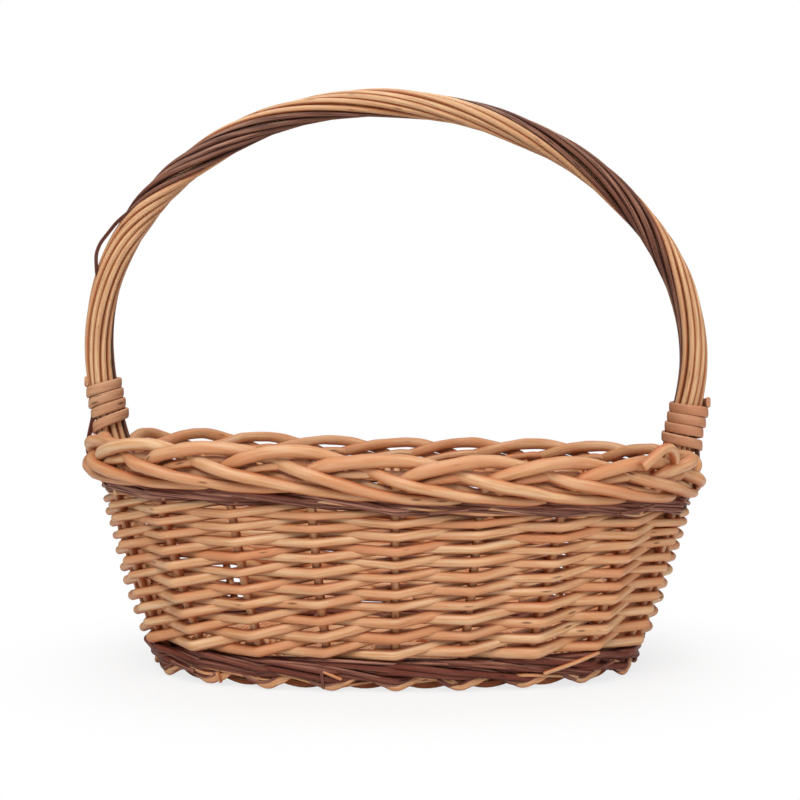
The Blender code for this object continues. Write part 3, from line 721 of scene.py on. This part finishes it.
upset = []
for lift, radius, step, wander, finish in UPSET_RODS:
    line = wale_line(UPSET_HEIGHT, radius + UPSET_SLACK, step, lift, wander)
    upset.append(wall_rod(line, radius, finish, sides=10, closed=True, window=0.014))
lay_rods("upset_wale_rods", upset, [BARK, PEELED], ["upset_wale"])
main = wale_line(MAIN_HEIGHT, MAIN_LAY, MAIN_STEP, thinner=MAIN_THINNING)
band = [wall_rod(main, MAIN_RADIUS, closed=True, window=0.013)]
for lift, radius, finish in BAND_RODS:
    line = wale_line(BAND_HEIGHT, radius + BAND_SLACK, BAND_STEP, lift, BAND_WANDER,
                     BAND_THINNING)
    band.append(wall_rod(line, radius, finish, sides=8, closed=True, window=0.013))
lay_rods("top_wale_rods", band, [BARK, PEELED], ["top_wale"])
print("wales:", len(upset), "and", len(band), "rods")

# %% [markdown]
# The basket stands on a foot of thin rods that loop under each stake, which shows as scallops
# along its lower edge. A loop at every stake is a cosine of the place round the basket, low
# and out at the stake, high and in between, so one line per rod is enough.

# %% The scalloped foot
FOOT_JITTER, FOOT_OUT, FOOT_SWING = 0.0004, 0.0040, 0.0036
# Phase, radius, finish, middle height and drop of each rod
FOOT_RODS = ((0.0, 0.0022, 0, 0.0064, 0.0045), (0.09, 0.0016, 1, 0.0078, 0.0048),
             (-0.10, 0.0013, 0, 0.0074, 0.0050))
place = np.arange(0, STAKES, 0.25)
foot = []
for phase, radius, finish, rise, drop in FOOT_RODS:
    swing = np.cos(2 * np.pi * (place + phase))
    weave = on_wall(place, rise - drop * swing + draw.normal(0, FOOT_JITTER, len(place)),
                    FOOT_OUT + FOOT_SWING * swing)
    foot.append(wall_rod(weave, radius, finish, closed=True, window=0.014))
lay_rods("foot_rods", foot, [PEELED, BARK], ["foot_ring"])
print("foot:", len(foot), "rods")

# %% [markdown]
# The handle is a bow pushed down into the wall at both ends, with rods wound round it. Its
# middle line is worked out first: legs that follow the inside of the wall, an easing curve to
# the shoulders, and half an ellipse over the top. Every rod is then placed beside that line.

# %% The handle's middle line
HANDLE_TOP, SHOULDER, HALF_SPAN, HANDLE_FOOT = 0.358, 0.200, 0.1915, 0.055
LEG_POINTS, ARC_POINTS = 40, 160
BORDER_TOP, LEG_INSET = 0.1407, 0.0068


def hoop_line():
    """Legs just inside the wall, a cubic out to the shoulder, then half an ellipse."""
    z = np.linspace(HANDLE_FOOT, BORDER_TOP, LEG_POINTS)
    leg = (on_wall(5, z)[:, 0] + on_wall(6, z)[:, 0]) / 2 - LEG_INSET
    slope = (leg[-1] - leg[-2]) / (z[1] - z[0])
    rise = SHOULDER - BORDER_TOP
    t = np.linspace(0, 1, LEG_POINTS)[1:]
    ease = ((2 * t ** 3 - 3 * t ** 2 + 1) * leg[-1] + (t ** 3 - 2 * t ** 2 + t) * slope * rise
            + (3 * t ** 2 - 2 * t ** 3) * HALF_SPAN)
    angle = np.linspace(0, np.pi / 2, ARC_POINTS)[1:]
    x = np.concatenate((leg, ease, HALF_SPAN * np.cos(angle)))
    z = np.concatenate((z, BORDER_TOP + t * rise,
                        SHOULDER + (HANDLE_TOP - SHOULDER) * np.sin(angle)))
    return np.concatenate((-x, x[-2::-1])), np.concatenate((z, z[-2::-1]))


HOOP_X, HOOP_Z = hoop_line()
HOOP_WAY = np.concatenate(([0], np.cumsum(np.hypot(np.diff(HOOP_X), np.diff(HOOP_Z)))))
print("handle:", round(float(HOOP_WAY[-1]), 3), "m along its middle")


def beside_hoop(way, angle, radius):
    """Points round the handle: middle + radius (cos angle outward, sin angle to the back)."""
    x, z = np.interp(way, HOOP_WAY, HOOP_X), np.interp(way, HOOP_WAY, HOOP_Z)
    dx, dz = np.gradient(x, way), np.gradient(z, way)
    long = np.hypot(dx, dz)
    return np.column_stack((x - dz / long * np.cos(angle) * radius, np.sin(angle) * radius,
                            z + dx / long * np.cos(angle) * radius))


def way_at(height, right=False):
    """Length along the handle at which a leg passes a height."""
    half = len(HOOP_Z) // 2
    way = float(np.interp(height, HOOP_Z[:half], HOOP_WAY[:half]))
    return HOOP_WAY[-1] - way if right else way


# %% [markdown]
# Eleven rods are wound round the bow by hand, so the twist is quick on the shoulders
# and slow over the top. A rod runs at a fixed distance from the middle line, at an angle
# read from a table of turns against length. Five lie together in their bark, so dark and tan
# take turns along the hoop. At each foot the rods part to straddle the border.

# %% The twisted rods
ROPE_RODS, DARK_RODS, ROPE_ROD_RADIUS, DARK_ROD_RADIUS = 11, 5, 0.00215, 0.00190
# The last number is the strength of the shade painted at the handle rods' sides.
ROPE_OFFSET, ROPE_WANDER, ROPE_SWELL, ROPE_SHADE_PAINT = 0.0069, 0.0005, 0.04, 1.15
ROPE_RINGS, ROPE_SIDES, TWIST_WINDOW = 900, 16, 81
LEFT_GATHER, RIGHT_GATHER = 0.1515, 0.1420
LEG_LENGTH, LEG_SPREAD, LEG_CLOSE, LEG_CURVE, OUTER_FROM = 0.034, 0.0075, -0.002, 1.4, -0.1
BOW_RINGS, BOW_RADIUS = 260, 0.0046
TWIST_WAY = np.array((0.0, 0.118, 0.186, 0.304, 0.350, 0.475, 0.512, 0.540, 0.575, 0.658)) / 0.658
TWIST_TURNS = np.array((0.47, 0.62, 1.04, 1.46, 1.62, 2.04, 2.20, 2.37, 2.46, 2.54))
# The CAD strand that each rod stands for, or 0 for a rod that CAD lacks
STRAND_NODES = (3, 4, 7, 8, 0, 1, 2, 5, 6, 0, 0)
left_start, right_end = way_at(LEFT_GATHER), way_at(RIGHT_GATHER, right=True)
way = np.linspace(left_start - LEG_LENGTH, right_end + LEG_LENGTH, ROPE_RINGS)
share = np.clip((way - left_start) / (right_end - left_start), 0, 1)
turns = np.interp(share, TWIST_WAY, TWIST_TURNS)
bell = np.hanning(TWIST_WINDOW) / np.hanning(TWIST_WINDOW).sum()
turns = np.convolve(np.pad(turns, TWIST_WINDOW // 2, mode="edge"), bell, "valid")
below = np.maximum(np.maximum(left_start - way, way - right_end), 0) / LEG_LENGTH
middle = settled(beside_hoop(way, np.zeros(len(way)), 0))
for index in range(ROPE_RODS):
    first = index / ROPE_RODS + draw.normal(0, 0.006)
    wander = ROPE_WANDER * np.sin(2 * np.pi * (share * draw.uniform(1, 3) + draw.uniform()))
    angle = -2 * np.pi * (turns + first)
    outer = np.cos(angle[[0, -1]]) > OUTER_FROM
    half = len(way) // 2
    spread = np.concatenate((np.full(half, outer[0]), np.full(len(way) - half, outer[1])))
    line = beside_hoop(way, angle, ROPE_OFFSET + wander)
    parted = np.where(spread, LEG_SPREAD, LEG_CLOSE) * below ** LEG_CURVE
    line[:, 0] += np.sign(line[:, 0]) * parted
    line = settled(line)
    dark = index < DARK_RODS
    swell = 1 + ROPE_SWELL * np.sin(2 * np.pi * (share * draw.uniform(3, 7) + draw.uniform()))
    thick = (DARK_ROD_RADIUS if dark else ROPE_ROD_RADIUS) * draw.uniform(0.84, 1.13) * swell
    # The rod carries the strength of the shade painted at its sides.
    rod = {"points": line, "radii": thick, "facing": line - middle, "sides": ROPE_SIDES,
           "grime": ROPE_SHADE_PAINT}
    strand = STRAND_NODES[index]
    nodes = [f"handle_strand_{strand}"] if strand else []
    lay_rods(f"hoop_rod_{index + 1:02d}", [rod], [HOOP_BARK if dark else HOOP],
             nodes)
bow_way = np.linspace(0, HOOP_WAY[-1], BOW_RINGS)
bow = settled(beside_hoop(bow_way, np.zeros(BOW_RINGS), 0))
lay_rods("hoop_bow", [{"points": bow, "radii": np.full(BOW_RINGS, BOW_RADIUS),
                       "facing": (0, 1, 0)}],
         [HOOP], ["handle_bow"])
print("handle rods:", ROPE_RODS)

# %% [markdown]
# Each foot of the handle is bound with one split rod, flat on its inner side, so a turn is
# more than twice as wide as it is thick. The turns are a helix round the handle's middle line,
# and the first one sags loose where the handle's rods part to straddle the border. The right
# one is tilted and stands a little further out.

# %% The bindings
BIND_THICK, BIND_WIDE, BIND_PITCH, BIND_OFFSETS = 0.0013, 2.50, 0.0067, (0.0105, 0.0118)
BIND_SAG, RIGHT_TILT, RIGHT_SHIFT = 0.0038, 0.20, 0.0020
BIND_TURNS, BIND_RINGS, BIND_LOOSE, BIND_SQUARE = 4.25, 180, 0.9, 0.62
# The last number is the strength of the shade painted at the binding's sides, kept low.
BIND_FROM, BIND_EASE, BIND_SHADE_PAINT = 0.35, 0.0022, 0.1
BIND_STARTS = (0.1485, 0.1412)


def binding(name, start, right, offset, tilt, node):
    """A helix up the foot: way = start + pitch turn, first turn sagging, raised by tilt x."""
    turn = np.linspace(0, BIND_TURNS, BIND_RINGS)
    loose = np.maximum(BIND_LOOSE - turn, 0)
    way = start + (turn * BIND_PITCH - BIND_SAG * loose ** 2) * (-1 if right else 1)
    angle = -2 * np.pi * turn + BIND_FROM * np.pi
    line = settled(beside_hoop(way, angle, offset + BIND_EASE * loose))
    line[:, 2] += tilt * (line[:, 0] - beside_hoop(way, 0 * way, 0)[:, 0])
    line[:, 0] += RIGHT_SHIFT * right
    # The binding carries a low strength of painted shade at its sides.
    rod = {"points": line, "radii": np.full(BIND_RINGS, BIND_THICK), "facing": (0.0, 0.0, 1.0),
           "flat": BIND_WIDE, "square": BIND_SQUARE, "sides": 16, "grime": BIND_SHADE_PAINT}
    return lay_rods(name, [rod], [SPLIT], [node])


binding("left_binding_rod", way_at(BIND_STARTS[0]), False, BIND_OFFSETS[0], 0.0,
        "left_binding")
binding("right_binding_rod", way_at(BIND_STARTS[1], right=True), True, BIND_OFFSETS[1],
        RIGHT_TILT, "right_binding")
print("bindings: 2 of", BIND_TURNS, "turns")

# %% [markdown]
# A basket made by hand has loose ends: a bark twig that stands off the hoop in a small loop,
# a rod end that arches at the right of the rim, a bark rod outside each foot of the hoop,
# and splinters on the foot and the wale. They are short rods, like the rest.

# %% Loose twigs
LOOP_TWIG = ((-0.1600, -0.006, 0.2960), (-0.1690, -0.007, 0.2890), (-0.1790, -0.007, 0.2805),
             (-0.1900, -0.006, 0.2670), (-0.1928, -0.005, 0.2600), (-0.1925, -0.004, 0.2480),
             (-0.1905, -0.002, 0.2380))
LEFT_OUTER = ((-0.1938, -0.004, 0.1600), (-0.1953, -0.006, 0.1510), (-0.1968, -0.007, 0.1430),
              (-0.1979, -0.006, 0.1350), (-0.1968, -0.003, 0.1280), (-0.1935, 0.0, 0.1210))
RIGHT_OUTER = ((0.1890, -0.004, 0.1500), (0.1912, -0.006, 0.1420), (0.1930, -0.007, 0.1350),
               (0.1936, -0.006, 0.1290), (0.1925, -0.003, 0.1220), (0.1900, 0.0, 0.1150))
ARCH_STAKES = np.array((2.74, 2.85, 3.00, 3.16, 3.30, 3.40, 3.47))
ARCH_HEIGHTS = np.array((0.1325, 0.1372, 0.1422, 0.1430, 0.1392, 0.1330, 0.1260))
ARCH_OFFSETS = np.array((0.0090, 0.0084, 0.0060, 0.0040, 0.0028, 0.0012, -0.0010))
ARCH_SHIFT, STAKE_PITCH = 0.004, 0.045
SPLINTER_OUT, SPLINTER_BOW = 0.0078, 0.0008
# Stake, height, lean, length, radius and finish of each splinter
SPLINTERS = (
    (2.25, 0.0100, 0.0105, 0.036, 0.0013, 0), (-2.78, 0.0030, 0.0055, 0.001, 0.0012, 0),
    (-1.12, 0.0025, 0.0100, 0.001, 0.0011, 1), (-1.07, 0.0128, -0.0045, 0.011, 0.0010, 0),
    (3.1, 0.0090, 0.004, 0.016, 0.0010, 1), (-3.6, 0.0120, -0.004, 0.018, 0.0012, 1),
    (0.4, 0.1060, 0.002, 0.020, 0.0008, 1), (2.7, 0.1050, 0.004, 0.022, 0.0009, 1),
    (8.2, 0.0110, 0.006, 0.022, 0.0012, 0), (12.4, 0.0100, 0.004, 0.018, 0.0012, 1),
    (15.3, 0.1060, 0.003, 0.022, 0.0009, 0))


def twig(points, radius, finish=0):
    """A short thin rod through a few points, in metres, after the basket has settled."""
    line, thick = soften(np.array(points, float), radius, window=0.010, spacing=0.0012)
    return {"points": line, "radii": thick, "facing": outward(line) + (0, 0, 0.01),
            "finish": finish, "sides": 8}


arch = settled(on_wall(ARCH_STAKES, ARCH_HEIGHTS, ARCH_OFFSETS, ARCH_SHIFT))
twigs = [twig(LOOP_TWIG, 0.0012, 1), twig(arch, 0.0031), twig(LEFT_OUTER, 0.0015, 1),
         twig(RIGHT_OUTER, 0.0016, 1)]
for stake, height, lean, length, radius, finish in SPLINTERS:
    t = np.linspace(0, 1, 5)
    span = length / STAKE_PITCH
    twigs.append(twig(settled(on_wall(stake + span * t, height + lean * t,
                                      SPLINTER_OUT + SPLINTER_BOW * np.sin(np.pi * t))),
                      radius, finish))
lay_rods("loose_twigs", twigs, [PEELED, BARK])
print("twigs:", len(twigs))

# %% [markdown]
# A plain pale floor and soft light keep the colours true. The floor and the world show white
# to the camera only, so no extra light falls on the willow, and the floor keeps its shadow.

# %% The floor
FLOOR_SIZE, FLOOR_GREY, FLOOR_ROUGH = 6.0, 0.82, 0.9
FADE_NEAR, FADE_FAR, FADE_LEAST = 0.13, 0.30, 0.78


def make_floor():
    """A wide pale plane; the camera sees it fade to white away from the basket."""
    size = FLOOR_SIZE
    mesh = bpy.data.meshes.new("floor")
    mesh.from_pydata([(-size, -size, 0), (size, -size, 0), (size, size, 0), (-size, size, 0)], [],
                     [(0, 1, 2, 3)])
    floor = bpy.data.objects.new("floor", mesh)
    material = bpy.data.materials.new("pale_floor")
    material.use_nodes = True
    tree = material.node_tree
    shader = tree.nodes["Principled BSDF"]
    shader.inputs["Base Color"].default_value = (FLOOR_GREY, FLOOR_GREY, FLOOR_GREY, 1)
    shader.inputs["Roughness"].default_value = FLOOR_ROUGH
    place = tree.nodes.new("ShaderNodeTexCoord")
    reach = tree.nodes.new("ShaderNodeVectorMath")
    reach.operation = "LENGTH"
    link(tree, place.outputs["Object"], reach.inputs[0])
    away = ranged(tree, reach.outputs["Value"], FADE_NEAR, FADE_FAR, FADE_LEAST, 1.0)
    seen = tree.nodes.new("ShaderNodeLightPath")
    white = tree.nodes.new("ShaderNodeEmission")
    blend = tree.nodes.new("ShaderNodeMixShader")
    link(tree, math_node(tree, "MULTIPLY", away, seen.outputs["Is Camera Ray"]), blend.inputs[0])
    link(tree, shader.outputs[0], blend.inputs[1])
    link(tree, white.outputs[0], blend.inputs[2])
    link(tree, blend.outputs[0], tree.nodes["Material Output"].inputs["Surface"])
    mesh.materials.append(material)
    bpy.context.scene.collection.objects.link(floor)


make_floor()
print("floor:", 2 * FLOOR_SIZE, "m wide")

# %% [markdown]
# The photograph's light is soft and comes from the front. Three wide lamps do that: a key from
# the left, a weak fill from the right and one from above. A dim world fills the shadows.

# %% Lamps and world
LAMP_SIZE, LAMP_TARGET, WORLD_LIGHT = 1.5, (0, 0, 0.12), 0.15


def make_lamp(name, place, power):
    """A square soft lamp aimed at the basket."""
    data = bpy.data.lights.new(name, "AREA")
    data.size = LAMP_SIZE
    data.energy = power
    lamp = bpy.data.objects.new(name, data)
    lamp.location = place
    aim = np.array(LAMP_TARGET) - np.array(place)
    lamp.rotation_euler = Vector(aim).to_track_quat("-Z", "Y").to_euler()
    bpy.context.scene.collection.objects.link(lamp)


make_lamp("key", (-0.5, -1.5, 1.7), 44)
make_lamp("fill", (1.3, -1.3, 0.8), 12)
make_lamp("top", (0.1, 0.5, 1.9), 18)
world = bpy.data.worlds.new("studio")
bpy.context.scene.world = world
world.use_nodes = True
sky = world.node_tree
background = sky.nodes["Background"]
background.inputs["Color"].default_value = (1, 1, 1, 1)
seen = sky.nodes.new("ShaderNodeLightPath")
link(sky, ranged(sky, seen.outputs["Is Camera Ray"], 0.0, 1.0, WORLD_LIGHT, 1.0),
     background.inputs["Strength"])
print("lamps:", len(bpy.data.lights))

# %% [markdown]
# The photograph was taken from the front, level and close: the rim's far side shows a little
# above its near side. The camera's height and distance follow from that, and a small shift
# frames the basket without tilting the camera.

# %% Camera
CAMERA_PLACE, CAMERA_LENS, CAMERA_SHIFT = (0.0026, -0.90, 0.1745), 62.7, -0.0154
camera_data = bpy.data.cameras.new("camera")
camera_data.lens = CAMERA_LENS
camera_data.sensor_width = 36
camera_data.shift_y = CAMERA_SHIFT
camera_data.clip_start = 0.05
camera = bpy.data.objects.new("camera", camera_data)
camera.location = CAMERA_PLACE
camera.rotation_euler = (np.pi / 2, 0, 0)
bpy.context.scene.collection.objects.link(camera)
bpy.context.scene.camera = camera
bpy.context.scene.view_settings.view_transform = "Standard"
print("camera at", CAMERA_PLACE)
